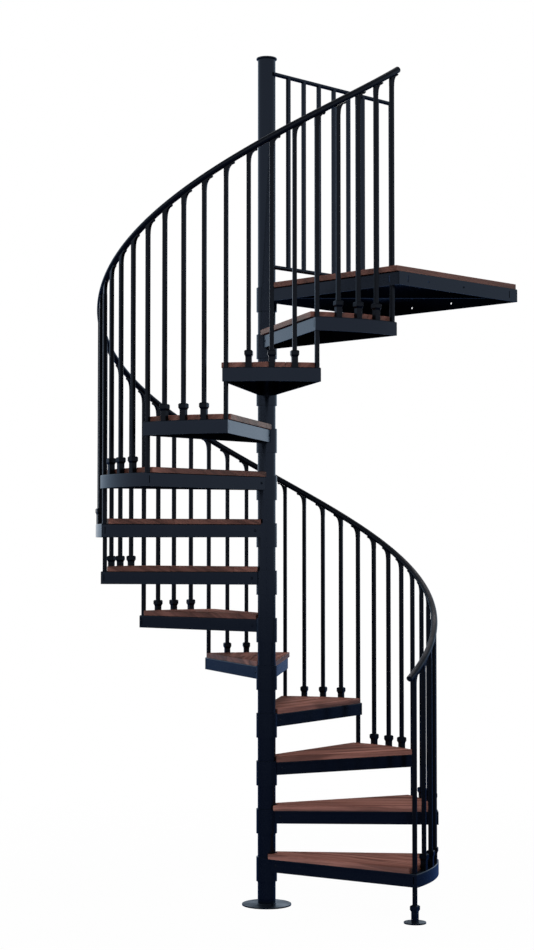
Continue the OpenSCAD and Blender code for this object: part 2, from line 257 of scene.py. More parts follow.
class FinishColours(PropertyGroup):
    """Finishes, with linear colours."""

    coat: colour("Coat", "Powder coat of the steel", (0.0130, 0.0174, 0.0272))
    coat_worn: colour("Coat, rubbed", "Powder coat where it is rubbed and dusty", (0.0200, 0.0265, 0.0390))
    coat_sheen: colour("Coat sheen", "Tint of the powder coat's reflections", (0.74, 0.86, 1.0))
    coat_rough: share("Coat roughness", "Roughness of the powder coat", 0.19)
    rail: colour("Handrail coat", "Powder coat of the handrail", (0.0100, 0.0122, 0.0175))
    rail_rough: share("Handrail roughness", "Roughness of the handrail, polished by hands", 0.34)
    # Painted highlight with hand wear: this pale grey, and the loss of metal on the handrail's top, stand for
    # light falling on its upper side.
    rail_worn_and_highlight: colour("Handrail, worn", "The handrail's top, greyed by hands", (0.142, 0.130, 0.133))
    rail_wear_and_highlight: decimal("Handrail wear", "How far the wear dulls the handrail's top", 1.6, min=0.0)
    bar: colour("Bar coat", "Powder coat of the balusters and their fittings", (0.0074, 0.0088, 0.0122))
    bar_worn: colour("Bar coat, rubbed", "The same where it is rubbed and dusty", (0.0110, 0.0140, 0.0200))
    bar_sheen: colour("Bar sheen", "Tint of the bar coat's reflections", (0.60, 0.68, 0.80))
    bar_rough: share("Bar roughness", "Roughness of the balusters and their fittings", 0.28)
    plug: colour("Plug", "Moulded end plugs", (0.0040, 0.0042, 0.0050))
    screw: colour("Screw", "Blackened screws", (0.055, 0.057, 0.063))
    wood_dark: colour("Wood, dark", "Late wood and pores", (0.064, 0.0258, 0.0200))
    wood_mid: colour("Wood, middle", "Main colour of the wood", (0.168, 0.0695, 0.0550))
    wood_pale: colour("Wood, pale", "Early wood", (0.270, 0.123, 0.099))
    top_gloss: share("Top gloss", "Specular level of the boards' worn tops", 0.02)
    top_rough: share("Top roughness", "Roughness of the boards' worn tops", 0.70)
    edge_gloss: share("Edge gloss", "Specular level of the boards' lacquered edges", 0.30)
    edge_rough: share("Edge roughness", "Roughness of the boards' lacquered edges", 0.42)
    # Painted shade: the boards' upright edges are made darker than their tops, standing for the lesser light
    # that reaches them.
    edge_painted_shade: share("Edge depth", "How much darker the lacquer makes the boards' edges", 0.13)
    floor: colour("Floor", "Floor of the stage", (0.30, 0.30, 0.30))
    floor_gloss: colour("Floor in gloss", "Colour of the near floor in reflections", (0.045, 0.090, 0.220))
    floor_haze: colour("Far floor in gloss", "Colour of the far floor in reflections", (0.100, 0.148, 0.262))


class StageSettings(PropertyGroup):
    """Camera, floor and light, with distances from the pole."""

    eye: FloatVectorProperty(name="Camera", description="Place of the camera", size=3, precision=4,
                             default=(6.1644, -6.1831, 1.6723), subtype="TRANSLATION")
    heading: angle("Heading", "Turn of the camera about the vertical", 44.903)
    pitch: angle("Pitch", "Angle of the camera above the horizon", 2.183)
    lens: decimal("Lens", "Focal length of the camera", 70.38, unit="CAMERA")
    zenith: share("Zenith in gloss", "Level of the white straight above in reflections", 0.25)
    ambient: decimal("Ambient", "Level of the even light straight above", 1.40, min=0.0)
    floor_white: share("Floor white", "How much of the floor's white is its own, near the stair", 0.985)
    floor_half: length("Floor", "Half the side of the floor", 60.0)
    shadow_near: length("Shadow fades from", "Distance where the floor's shadow starts to fade", 1.0)
    shadow_far: length("Shadow fades to", "Distance where the floor is plain white", 4.0)
    haze_near: length("Haze from", "Distance where the floor's reflection starts to pale", 5.0)
    haze_far: length("Haze to", "Distance where the floor's reflection is palest", 12.0)
    key_power: decimal("Key light", "Power of the soft light above", 21.5, unit="POWER")
    fill_power: decimal("Fill light", "Power of the soft light behind", 7.0, unit="POWER")
    bounce_power: decimal("Bounce light", "Power of the soft light off the floor", 70.0, unit="POWER")
    key_spread: angle("Key spread", "Angle over which the key and fill lights fan out", 48.0)


GROUPS = {
    "stair_sizes": StairSizes,
    "stair_boards": BoardSizes,
    "stair_rail": RailSizes,
    "stair_fasteners": FastenerSizes,
    "stair_finish": FinishColours,
    "stair_stage": StageSettings,
}


def arithmetic(operation):
    """Two methods of a socket: the operation with a value after it, and with one before it."""
    return (lambda self, other: self.graph.math(operation, self, other),
            lambda self, other: self.graph.math(operation, other, self))


class Socket:
    """An output of a node. Arithmetic on it adds Math nodes to its tree."""

    def __init__(self, graph, out):
        self.graph = graph
        self.out = out

    __add__, __radd__ = arithmetic("ADD")
    __sub__, __rsub__ = arithmetic("SUBTRACT")
    __mul__, __rmul__ = arithmetic("MULTIPLY")
    __truediv__, __rtruediv__ = arithmetic("DIVIDE")


class Graph:
    """Adds nodes to one shader or geometry tree."""

    def __init__(self, tree):
        self.tree = tree

    def node(self, kind, sockets=None, **settings):
        """A new node: its settings are set first, then its sockets get values or links."""
        made = self.tree.nodes.new(kind)
        for name, value in settings.items():
            setattr(made, name, value)
        for name, value in (sockets or {}).items():
            if isinstance(value, Socket):
                self.tree.links.new(value.out, made.inputs[name])
            else:
                made.inputs[name].default_value = value
        return made

    def get(self, kind, sockets=None, out=0, **settings):
        """One output of a new node."""
        return Socket(self, self.node(kind, sockets, **settings).outputs[out])

    def math(self, operation, first, second=0.0):
        return self.get("ShaderNodeMath", {0: first, 1: second}, operation=operation)

    def clamp01(self, value):
        return self.get("ShaderNodeClamp", {"Value": value})

    def remap(self, value, low, high, to_low, to_high):
        """A value carried from one range to another, and held inside it."""
        return self.get("ShaderNodeMapRange", {"Value": value, 1: low, 2: high, 3: to_low, 4: to_high})

    def vector(self, x, y, z):
        return self.get("ShaderNodeCombineXYZ", {0: x, 1: y, 2: z})

    def mix_colour(self, factor, first, second):
        """A blend of two colours, given as sockets or as linear colours."""
        ends = [c if isinstance(c, Socket) else (*c, 1.0) for c in (first, second)]
        return self.get("ShaderNodeMix", {0: factor, 6: ends[0], 7: ends[1]}, out=2, data_type="RGBA")

    def noise(self, vector, scale, detail, distortion=0.0):
        return self.get("ShaderNodeTexNoise", {
            "Vector": vector, "Scale": scale, "Detail": detail, "Distortion": distortion})

    def bump(self, height, strength, distance):
        return self.get("ShaderNodeBump", {"Strength": strength, "Distance": distance, "Height": height})

    def place(self):
        """The shaded point, in the stair's own coordinates."""
        return self.get("ShaderNodeTexCoord", out="Object")

    def attribute(self, name):
        return self.get("ShaderNodeAttribute", out="Fac", attribute_name=name)

    def part(self, vector, axis):
        """One coordinate of a vector."""
        return self.get("ShaderNodeSeparateXYZ", {0: vector}, out=axis)

    def polar(self, radius, turn, height):
        """A point at a radius, turn and height about the pole."""
        return self.vector(radius * self.math("COSINE", turn), radius * self.math("SINE", turn), height)

    def surface(self, shader):
        """Links a shader to the material's output."""
        self.node("ShaderNodeOutputMaterial", {"Surface": shader})

    def principled(self, sockets):
        """The material's whole surface."""
        self.surface(self.get("ShaderNodeBsdfPrincipled", sockets))


def new_material(name):
    """A material with an empty node tree."""
    material = bpy.data.materials.new(name)
    material.use_nodes = True
    material.node_tree.nodes.clear()
    return material, Graph(material.node_tree)


def shared_material(make, name, *settings):
    """A material by name, made once."""
    return bpy.data.materials.get(name) or make(name, *settings)


def coat_material(name, coat, worn, sheen, rough, wear=0.0):
    """Dark powder coat: fine orange peel, cloudy gloss, rubbed spots, and a paler, rougher coat on what faces
    up: dusty on the plates and bars, and on the handrail a painted highlight of its upper side together with
    hand wear.
    """
    material, graph = new_material(name)
    place = graph.place()
    upward = graph.part(graph.get("ShaderNodeNewGeometry", out="Normal"), 2)
    cloud = graph.noise(place, scale=5.5, detail=4.0)
    grit = graph.noise(place, scale=210.0, detail=2.0)
    peel = graph.noise(place, scale=520.0, detail=2.0)
    # Upward mask: settled dust on the plates and bars; with the handrail's pale grey it is a painted
    # highlight on the tube's top, together with hand wear.
    dust_and_highlight = graph.clamp01(graph.remap(upward, 0.55, 1.0, 0.0, 0.75)
                         * graph.remap(cloud, 0.35, 0.7, 0.3, 1.0))
    rubbed = graph.clamp01(graph.remap(grit, 0.62, 0.8, 0.0, 0.3)
                           * graph.remap(cloud, 0.4, 0.65, 0.0, 1.0))
    graph.principled({
        "Base Color": graph.mix_colour(graph.math("MAXIMUM", dust_and_highlight, rubbed), coat, worn),
        # On the handrail this takes the metal off its top so that the pale grey shows there: part of the
        # painted highlight.
        "Metallic": graph.clamp01(COAT_METAL - wear * dust_and_highlight),
        "Roughness": rough + 0.10 * (cloud - 0.5) + 0.50 * dust_and_highlight,
        "Normal": graph.bump(peel, strength=0.05, distance=0.0002),
        "IOR": 1.5, "Specular IOR Level": 0.5, "Specular Tint": (*sheen, 1.0)})
    return material


def wood_material(name, gloss, rough, depth):
    """Reddish-brown boards: grain along the board's UV, a tone for each board, darker end grain, and on the
    edge finish a painted shade given by depth.
    """
    colours = bpy.context.scene.stair_finish
    material, graph = new_material(name)
    grain = graph.get("ShaderNodeUVMap", uv_map="grain")
    along = graph.part(grain, 0)
    across = graph.part(grain, 1)
    tone = graph.attribute("tone")

    def layer(kind, sway=0.0):
        size = GRAIN[kind]
        waves = graph.vector(along * size.along, across * size.across + size.sway * sway,
                             tone * size.tone + size.shift)
        return graph.noise(waves, 1.0, size.detail, size.distortion)

    sway = layer("sway") - 0.5
    streaks = layer("streaks")
    # Taking depth off the grade darkens the edge finish: painted shade on the upright faces.
    grade = graph.clamp01(graph.remap(layer("bands", sway), 0.36, 0.64, 0.0, 1.0) * 0.62
                          + graph.remap(layer("figure", sway), 0.36, 0.62, 0.0, 0.36)
                          + graph.remap(streaks, 0.3, 0.7, 0.0, 0.20) + 0.20 * (tone - 0.5) - depth)
    lower = graph.mix_colour(graph.clamp01(grade * 2.0), colours.wood_dark, colours.wood_mid)
    body = graph.mix_colour(graph.clamp01(grade * 2.0 - 1.0), lower, colours.wood_pale)
    pitted = graph.clamp01(graph.remap(layer("pores"), 0.60, 0.72, 0.0, 0.55))
    veined = graph.clamp01(graph.remap(layer("veins", sway), 0.55, 0.64, 0.0, 0.75))
    shade = graph.math("MAXIMUM", graph.math("MAXIMUM", pitted, veined), graph.attribute("end_grain") * 0.45)
    graph.principled({
        "Base Color": graph.mix_colour(shade, body, colours.wood_dark),
        "Roughness": rough + 0.18 * (streaks - 0.5) + 0.12 * pitted,
        "Normal": graph.bump(streaks * 0.5 - pitted, strength=0.25, distance=0.0006),
        "IOR": 1.5, "Specular IOR Level": gloss})
    return material


def screw_material(name):
    """Blackened steel of the screw heads, lightly scuffed."""
    colours = bpy.context.scene.stair_finish
    material, graph = new_material(name)
    scuff = graph.noise(graph.place(), scale=900.0, detail=2.0)
    graph.principled({
        "Base Color": graph.mix_colour(graph.remap(scuff, 0.35, 0.75, 0.0, 1.0), colours.screw,
                                       [2.2 * c for c in colours.screw]),
        "Roughness": 0.30 + 0.25 * scuff, "Metallic": 1.0})
    return material


def plug_material(name):
    """Black moulded plastic of the end plugs, with a fine grain."""
    colours = bpy.context.scene.stair_finish
    material, graph = new_material(name)
    speckle = graph.noise(graph.place(), scale=1400.0, detail=1.0)
    graph.principled({
        "Base Color": graph.mix_colour(speckle, colours.plug, colours.coat_worn),
        "Roughness": 0.50 + 0.15 * speckle, "Normal": graph.bump(speckle, strength=0.2, distance=0.0002),
        "Specular IOR Level": 0.25})
    return material


def ray_kinds(graph):
    """Camera, glossy and transmission rays, each 1 for its own kind."""
    rays = graph.node("ShaderNodeLightPath")
    return [Socket(graph, rays.outputs[kind])
            for kind in ("Is Camera Ray", "Is Glossy Ray", "Is Transmission Ray")]


def floor_material(name):
    """Pale floor that shows white and keeps a soft shadow."""
    colours = bpy.context.scene.stair_finish
    stage = bpy.context.scene.stair_stage
    material, graph = new_material(name)
    place = graph.place()
    mottle = graph.noise(place, scale=1.2, detail=3.0)
    base = graph.mix_colour(graph.remap(mottle, 0.3, 0.7, 0.0, 0.2), colours.floor, (1.0, 1.0, 1.0))
    paint = graph.get("ShaderNodeBsdfDiffuse", {"Color": base})
    camera, glossy, through = ray_kinds(graph)
    glow = graph.get("ShaderNodeEmission", {"Color": (1.0, 1.0, 1.0, 1.0)})
    distance = graph.get("ShaderNodeVectorMath", {0: place}, out=1, operation="LENGTH")
    mirrored = graph.mix_colour(graph.remap(distance, stage.haze_near, stage.haze_far, 0.0, 1.0),
                                colours.floor_gloss, colours.floor_haze)
    dim = graph.get("ShaderNodeEmission", {"Color": mirrored})
    own_white = graph.remap(distance, stage.shadow_near, stage.shadow_far, stage.floor_white, 1.0)
    bright = graph.get("ShaderNodeMixShader", {0: own_white * (camera + through), 1: paint, 2: glow})
    graph.surface(graph.get("ShaderNodeMixShader", {0: glossy, 1: bright, 2: dim}))
    return material


def plate_coat():
    """The satin coat of the pole, the trays, the plates and the guard."""
    finish = bpy.context.scene.stair_finish
    return shared_material(coat_material, "powder_coat", finish.coat, finish.coat_worn, finish.coat_sheen,
                           finish.coat_rough)


def bar_coat():
    """The duller coat of the balusters and their fittings."""
    finish = bpy.context.scene.stair_finish
    return shared_material(coat_material, "baluster_coat", finish.bar, finish.bar_worn, finish.bar_sheen,
                           finish.bar_rough)


def rail_coat():
    """The handrail's coat, greyed on its top: a painted highlight of its upper side, with wear by hands."""
    finish = bpy.context.scene.stair_finish
    return shared_material(coat_material, "handrail_coat", finish.rail, finish.rail_worn_and_highlight, finish.coat_sheen,
                           finish.rail_rough, finish.rail_wear_and_highlight)


def wood_finishes():
    """The finish of the boards' tops and that of their edges, which is darkened as painted shade."""
    finish = bpy.context.scene.stair_finish
    return (shared_material(wood_material, "oiled_wood", finish.top_gloss, finish.top_rough, 0.0),
            shared_material(wood_material, "lacquered_edge", finish.edge_gloss, finish.edge_rough,
                            finish.edge_painted_shade))


def mesh_from(bm, name):
    """A mesh of what has been built, which is then freed."""
    mesh = bpy.data.meshes.new(name)
    bm.to_mesh(mesh)
    bm.free()
    return mesh


def add_object(name, data, *materials):
    """An object at the origin, with its materials."""
    made = bpy.data.objects.new(name, data)
    bpy.context.scene.collection.objects.link(made)
    for material in materials:
        data.materials.append(material)
    return made


def attach(piece):
    """The piece moves with the stair."""
    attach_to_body(piece, BODY)


def strip_outline(low, high, left_at, right_at):
    """Outline of a board between two lines across it, from the ends that the functions give."""
    rows = [low + (high - low) * j / OUTLINE_STEPS for j in range(OUTLINE_STEPS + 1)]
    return [(right_at(v), v) for v in rows] + [(left_at(v), v) for v in reversed(rows)]


def add_board(bm, outline, thick, round_over, index, tone):
    """A closed board over its outline, from z 0 down, with rounded upper edges and a tone of its own."""
    floor_face = bm.faces.new([bm.verts.new((u, v, -thick)) for u, v in outline])
    raised = bmesh.ops.extrude_face_region(bm, geom=[floor_face], use_keep_orig=True)["geom"]
    top = [item for item in raised if isinstance(item, bmesh.types.BMFace)]
    bmesh.ops.translate(bm, vec=(0.0, 0.0, thick),
                        verts=[item for item in raised if isinstance(item, bmesh.types.BMVert)])
    rim = list(top[0].edges)
    for face in set(top + [floor_face] + [face for edge in rim for face in edge.link_faces]):
        face[tone] = (FIRST_TONE + TONE_STEP * index) % 1.0
    bmesh.ops.bevel(bm, geom=rim, offset=round_over, segments=ROUND_STEPS, profile=0.5, affect="EDGES",
                    clamp_overlap=True)


def lay_grain(bm, grain, tone, end_grain):
    """Grain along u on every face, each board's set apart by its tone; the edges take the second finish, with
    its painted shade.
    """
    bmesh.ops.recalc_face_normals(bm, faces=bm.faces)
    for face in bm.faces:
        face[end_grain] = 1.0 if abs(face.normal.x) > END_FACING else 0.0
        face.material_index = 0 if face.normal.z > TOP_FACING else 1
        face.smooth = False
        for loop in face.loops:
            u, v, z = loop.vert.co
            loop[grain].uv = (u + TONE_SHIFT[0] * face[tone], v - z + TONE_SHIFT[1] * face[tone])


def board_mesh(name, outlines, thick, round_over, first_index, place):
    """A mesh of boards, made flat and then put in place by a function of a point."""
    bm = bmesh.new()
    layers = (bm.loops.layers.uv.new("grain"), bm.faces.layers.float.new("tone"),
              bm.faces.layers.float.new("end_grain"))
    for j, outline in enumerate(outlines):
        add_board(bm, outline, thick, round_over, first_index + j, layers[1])
    lay_grain(bm, *layers)
    for vert in bm.verts:
        vert.co = place(vert.co)
    return mesh_from(bm, name)


def split(low, high, count, seam):
    """Low and high lines of equal boards with seams between them."""
    step = (high - low) / count
    return [(low + j * step + (seam / 2 if j else 0.0),
             low + (j + 1) * step - (seam / 2 if j < count - 1 else 0.0)) for j in range(count)]


def tread_strips(sizes):
    """Outlines of one tread's boards: u runs along the nosing, v from the nosing to the back, axis at 0."""
    spread = 2 * sizes.edge_angle
    back_rise = sizes.back_offset / cos(spread)
    far = sizes.outer_radius * sin(spread + asin(sizes.back_offset / sizes.outer_radius))
    # Width that the sharp back corner gains for each metre toward the nosing.
    taper = 1 / tan(spread) + far / sqrt(sizes.outer_radius ** 2 - far ** 2)

    def hub_end(v):
        hub = sqrt(max(sizes.hub_radius ** 2 - v * v, 0.0))
        return max(hub, (v - back_rise) / tan(spread))

    def outer_end(v):
        return sqrt(sizes.outer_radius ** 2 - v * v)

    lines = split(-sizes.nose_offset, far - sizes.tip / taper, sizes.tread_boards, sizes.seam)
    return [strip_outline(low, high, hub_end, outer_end) for low, high in lines]


class STAIR_OT_treads(Operator):
    """Make the boards of every tread"""

    bl_idname = "stair.treads"
    bl_label = "Tread Boards"

    def execute(self, context):
        stair = context.scene.stair_sizes
        sizes = context.scene.stair_boards
        outlines = tread_strips(sizes)
        for k, tread in enumerate(TREADS, start=1):
            turn = (k - 0.5 - LEVELS) * stair.tread_pitch - sizes.edge_angle
            top = stair.first_top + (k - 1) * stair.rise

            def place(p, turn=turn, top=top):
                return (p.x * cos(turn) - p.y * sin(turn), p.x * sin(turn) + p.y * cos(turn), p.z + top)

            mesh = board_mesh(tread + "_boards", outlines, stair.wood_thick, sizes.round_over,
                              k * sizes.tread_boards, place)
            piece = add_object(tread + "_boards", mesh, *wood_finishes())
            attach(piece)
            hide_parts(tread + "_top")
        return {"FINISHED"}


def square_prism(half, low, high, centre):
    """A mesh of an upright square bar, for cutting."""
    bm = bmesh.new()
    bmesh.ops.create_cube(bm, size=1.0)
    for vert in bm.verts:
        x, y, z = vert.co
        vert.co = (centre + 2 * half * x, 2 * half * y, low + (high - low) * (z + 0.5))
    return mesh_from(bm, "baluster_cut")


def apply_modifiers(holder):
    """Makes what an object's modifiers give its mesh, and removes them."""
    bpy.context.view_layer.update()
    depsgraph = bpy.context.evaluated_depsgraph_get()
    mesh = bpy.data.meshes.new_from_object(holder.evaluated_get(depsgraph))
    holder.modifiers.clear()
    holder.data = mesh


class STAIR_OT_landing(Operator):
    """Make the boards of the landing"""

    bl_idname = "stair.landing"
    bl_label = "Landing Boards"

    def execute(self, context):
        stair = context.scene.stair_sizes
        sizes = context.scene.stair_boards
        low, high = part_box("landing_deck")
        top = high[2]

        def near_end(v):
            inside = abs(v) < sizes.hub_radius
            return sqrt(sizes.hub_radius ** 2 - v * v) if inside else low[1]

        lines = split(-high[0], -low[0], sizes.landing_boards, sizes.seam)
        outlines = [strip_outline(a, b, near_end, lambda v: high[1]) for a, b in lines]
        mesh = board_mesh("landing_boards", outlines, stair.wood_thick, sizes.round_over, LANDING_TONE,
                          lambda p: (-p.y, p.x, p.z + top))
        piece = add_object("landing_boards", mesh, *wood_finishes())
        bar = square_prism(stair.bar_width / 2 + sizes.bar_fit, low[2] - CUT_PAST, top + CUT_PAST,
                           stair.bar_radius)
        cutter = add_object("baluster_cut", bar)
        hole = piece.modifiers.new("baluster_hole", "BOOLEAN")
        hole.operation = "DIFFERENCE"
        hole.solver = "EXACT"
        hole.object = cutter
        apply_modifiers(piece)
        bpy.data.objects.remove(cutter)
        attach(piece)
        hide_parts("landing_deck")
        return {"FINISHED"}


class GeometryTree(Graph):
    """A geometry node tree with named inputs. It makes one piece of the same name."""

    def __init__(self, name, material, inputs):
        super().__init__(bpy.data.node_groups.new(name, "GeometryNodeTree"))
        self.name = name
        self.values = {**inputs, "Material": material}
        kinds = {int: "NodeSocketInt", float: "NodeSocketFloat", Material: "NodeSocketMaterial"}
        self.tree.interface.new_socket("Geometry", in_out="OUTPUT", socket_type="NodeSocketGeometry")
        for label, value in self.values.items():
            self.tree.interface.new_socket(label, in_out="INPUT", socket_type=kinds[type(value)])
        self.entry = self.tree.nodes.new("NodeGroupInput")

    def __getitem__(self, label):
        return Socket(self, self.entry.outputs[label])

    def number(self):
        """The number of a point, for arithmetic."""
        return self.get("GeometryNodeInputIndex") + 0.0

    def circle(self, sides, radius):
        """A round section about the origin."""
        return self.get("GeometryNodeCurvePrimitiveCircle", {"Resolution": sides, "Radius": radius},
                        mode="RADIUS")

    def moved(self, geometry, x, y, z):
        """Geometry moved from the origin to a point."""
        return self.get("GeometryNodeTransform", {"Geometry": geometry, "Translation": self.vector(x, y, z)})

    def smooth(self, mesh):
        return self.get("GeometryNodeSetShadeSmooth", {"Geometry": mesh})

    def tube(self, curve, profile, capped):
        """A profile swept along a curve."""
        return self.get("GeometryNodeCurveToMesh",
                        {"Curve": curve, "Profile Curve": profile, "Fill Caps": capped})

    def close(self, geometry):
        """Realizes the instances, sets the material and links the result to the output."""
        real = self.get("GeometryNodeRealizeInstances", {0: geometry})
        done = self.get("GeometryNodeSetMaterial", {"Geometry": real, "Material": self["Material"]})
        self.node("NodeGroupOutput", {0: done})
        return self

    def spread(self, points, tilt, item):
        """Closes the tree with an item on every point."""
        return self.close(self.get("GeometryNodeInstanceOnPoints", {
            "Points": points, "Instance": item, "Rotation": tilt}))

    def scatter(self, place, tilt, item):
        """Closes the tree with items, placed and tilted by their number."""
        points = self.get("GeometryNodePoints", {"Count": self["Count"], "Position": place})
        return self.spread(points, tilt, item)

    def grow(self):
        """The piece, a plain mesh made with the tree's own input values."""
        holder = add_object(self.name, bpy.data.meshes.new(self.name))
        modifier = holder.modifiers.new(self.name, "NODES")
        modifier.node_group = self.tree
        for item in self.tree.interface.items_tree:
            if item.in_out == "INPUT":
                modifier[item.identifier] = self.values[item.name]
        apply_modifiers(holder)
        return holder


def rail_tree(stair, rail, material):
    """Tube along the helix, its rings drawn in at both ends to a rounded plug."""
    climb = stair.rise / stair.tread_pitch
    slope = atan2(climb, stair.bar_radius)
    per_length = cos(slope) / stair.bar_radius
    tree = GeometryTree("handrail_tube", material, {
        "Helix Radius": stair.bar_radius, "Tube Radius": rail.radius, "Climb": climb,
        "Low Turn": -LEVELS * stair.tread_pitch - (rail.past - rail.nose) * per_length,
        "High Turn": (rail.past - rail.nose) * per_length, "Plug Turn": rail.nose * per_length,
        "End Height": rail.first_height + LEVELS * stair.rise,
        "Rings": rail.rings, "Plug Rings": rail.nose_rings, "Sides": rail.sides})
    index = tree.number()
    last = tree["Rings"] - 1.0
    run = tree.clamp01((index - tree["Plug Rings"]) / (last - 2.0 * tree["Plug Rings"]))
    low_end = tree.clamp01((tree["Plug Rings"] - index) / tree["Plug Rings"]) * (pi / 2)
    high_end = tree.clamp01((index - last + tree["Plug Rings"]) / tree["Plug Rings"]) * (pi / 2)
    swing = tree["Low Turn"] + run * (tree["High Turn"] - tree["Low Turn"]) \
        + tree["Plug Turn"] * (tree.math("SINE", high_end) - tree.math("SINE", low_end))
    rounding = tree.math("COSINE", low_end) * tree.math("COSINE", high_end)
    line = tree.get("GeometryNodeCurvePrimitiveLine")
    points = tree.get("GeometryNodeResampleCurve", {"Curve": line, "Count": tree["Rings"]})
    place = tree.polar(tree["Helix Radius"], swing, tree["End Height"] + swing * tree["Climb"])
    helix = tree.get("GeometryNodeSetPosition", {"Geometry": points, "Position": place})
    upright = tree.get("GeometryNodeSetCurveNormal", {"Curve": helix}, mode="Z_UP")
    drawn = tree.get("GeometryNodeSetCurveRadius",
                     {"Curve": upright, "Radius": tree.math("MAXIMUM", rounding, PLUG_END)})
    return tree.close(tree.smooth(tree.tube(drawn, tree.circle(tree["Sides"], tree["Tube Radius"]), True)))


class STAIR_OT_handrail(Operator):
    """Sweep the handrail along its helix"""

    bl_idname = "stair.handrail"
    bl_label = "Handrail"

    def execute(self, context):
        scene = context.scene
        piece = rail_tree(scene.stair_sizes, scene.stair_rail, rail_coat()).grow()
        attach(piece)
        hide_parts("handrail")
        return {"FINISHED"}


def screw_head(tree):
    """A low round head with a drive recess, on the plane z 0."""
    radius = tree["Head"]
    dome = tree.get("GeometryNodeMeshUVSphere",
                    {"Segments": HEAD_SEGMENTS, "Rings": HEAD_RINGS, "Radius": radius})
    low = tree.get("GeometryNodeTransform", {"Geometry": dome, "Scale": (1.0, 1.0, HEAD_HEIGHT)})
    drive = tree.get("GeometryNodeMeshCylinder", {
        "Vertices": DRIVE_SIDES, "Radius": radius * DRIVE_RADIUS, "Depth": radius * DRIVE_DEPTH},
        fill_type="NGON")
    recess = tree.moved(drive, 0.0, 0.0, radius * DRIVE_MIDDLE)
    return tree.get("GeometryNodeMeshBoolean", {"Mesh 1": tree.smooth(low), "Mesh 2": recess},
                    operation="DIFFERENCE")


def saddle_screw_tree(stair, rail, sizes, material):
    """A screw up through every saddle's toe, square to the handrail."""
    slope = atan2(stair.rise / stair.tread_pitch, stair.bar_radius)
    under = (rail.radius + rail.seat) / cos(slope) + sizes.saddle_depth
    tree = GeometryTree("saddle_screws", material, {
        "Count": LEVELS * stair.bars_per_tread + 1, "Low Turn": -LEVELS * stair.tread_pitch,
        "Bar Step": stair.tread_pitch / stair.bars_per_tread,
        "Radius": stair.bar_radius, "Height": rail.first_height + sizes.saddle_reach * tan(slope) - under,
        "Rise Step": stair.rise / stair.bars_per_tread, "Ahead": sizes.saddle_reach / stair.bar_radius,
        "Slope": slope, "Head": sizes.saddle_head})
    number = tree.number()
    turn = tree["Low Turn"] + number * tree["Bar Step"] + tree["Ahead"]
    place = tree.polar(tree["Radius"], turn, tree["Height"] + number * tree["Rise Step"])
    tilt = tree.vector(tree["Slope"] + pi, 0.0, turn)
    return tree.scatter(place, tilt, screw_head(tree))


def set_screw_tree(stair, sizes, material):
    """A set screw in every baluster socket, on the side toward the pole."""
    per_tread = stair.bars_per_tread - 1
    tree = GeometryTree("socket_screws", material, {
        "Count": LEVELS * per_tread, "Per Tread": float(per_tread),
        "Bar Step": stair.tread_pitch / stair.bars_per_tread, "Low Turn": -LEVELS * stair.tread_pitch,
        "Radius": stair.bar_radius - sizes.socket_half,
        "Height": stair.first_top - stair.wood_thick + sizes.set_height, "Rise": stair.rise,
        "Head": sizes.set_head})
    number = tree.number()
    level = tree.math("FLOOR", number / tree["Per Tread"])
    turn = tree["Low Turn"] + (number + level + 1.0) * tree["Bar Step"]
    place = tree.polar(tree["Radius"], turn, tree["Height"] + level * tree["Rise"])
    tilt = tree.vector(0.0, -pi / 2, turn)
    return tree.scatter(place, tilt, screw_head(tree))


def tray_screw_tree(stair, sizes, material):
    """Screws in rows of two up through every tray into its wood."""
    tree = GeometryTree("tray_screws", material, {
        "Count": TRAY_SCREWS * LEVELS, "Low Turn": -(LEVELS - 0.5) * stair.tread_pitch,
        "Tread Pitch": stair.tread_pitch, "Spread": sizes.tray_spread, "First": sizes.tray_first,
        "Step": sizes.tray_step, "Rise": stair.rise,
        "Height": stair.first_top - stair.wood_thick - stair.sheet, "Head": sizes.tray_head})
    number = tree.number()
    level = tree.math("FLOOR", number / TRAY_SCREWS)
    on_tray = number - level * TRAY_SCREWS
    row = tree.math("FLOOR", on_tray / 2.0)
    side = (on_tray - row * 2.0) * 2.0 - 1.0
    turn = tree["Low Turn"] + level * tree["Tread Pitch"] + side * tree["Spread"]
    place = tree.polar(tree["First"] + row * tree["Step"], turn, tree["Height"] + level * tree["Rise"])
    tilt = tree.vector(pi, 0.0, turn)
    return tree.scatter(place, tilt, screw_head(tree))


def hub_screw_tree(stair, boards, sizes, material):
    """A screw in the hole at the hub end of both straight edges of every tray."""
    tree = GeometryTree("hub_screws", material, {
        "Count": 2 * LEVELS, "Low Turn": -(LEVELS - 0.5) * stair.tread_pitch,
        "Tread Pitch": stair.tread_pitch, "Edge Angle": boards.edge_angle, "Reach": sizes.hub_reach,
        "Offset": sizes.hub_offset, "Height": stair.first_top - stair.wood_thick - sizes.tray_depth / 2,
        "Rise": stair.rise, "Head": sizes.hub_head})
    number = tree.number()
    level = tree.math("FLOOR", number / 2.0)
    side = (number - level * 2.0) * 2.0 - 1.0
    turn = tree["Low Turn"] + level * tree["Tread Pitch"] + side * tree["Edge Angle"]
    along = tree.polar(tree["Reach"], turn, tree["Height"] + level * tree["Rise"])
    out = tree.polar(side * tree["Offset"], turn + pi / 2, 0.0)
    place = tree.get("ShaderNodeVectorMath", {0: along, 1: out}, operation="ADD")
    tilt = tree.vector(side * (-pi / 2), 0.0, turn)
    return tree.scatter(place, tilt, screw_head(tree))


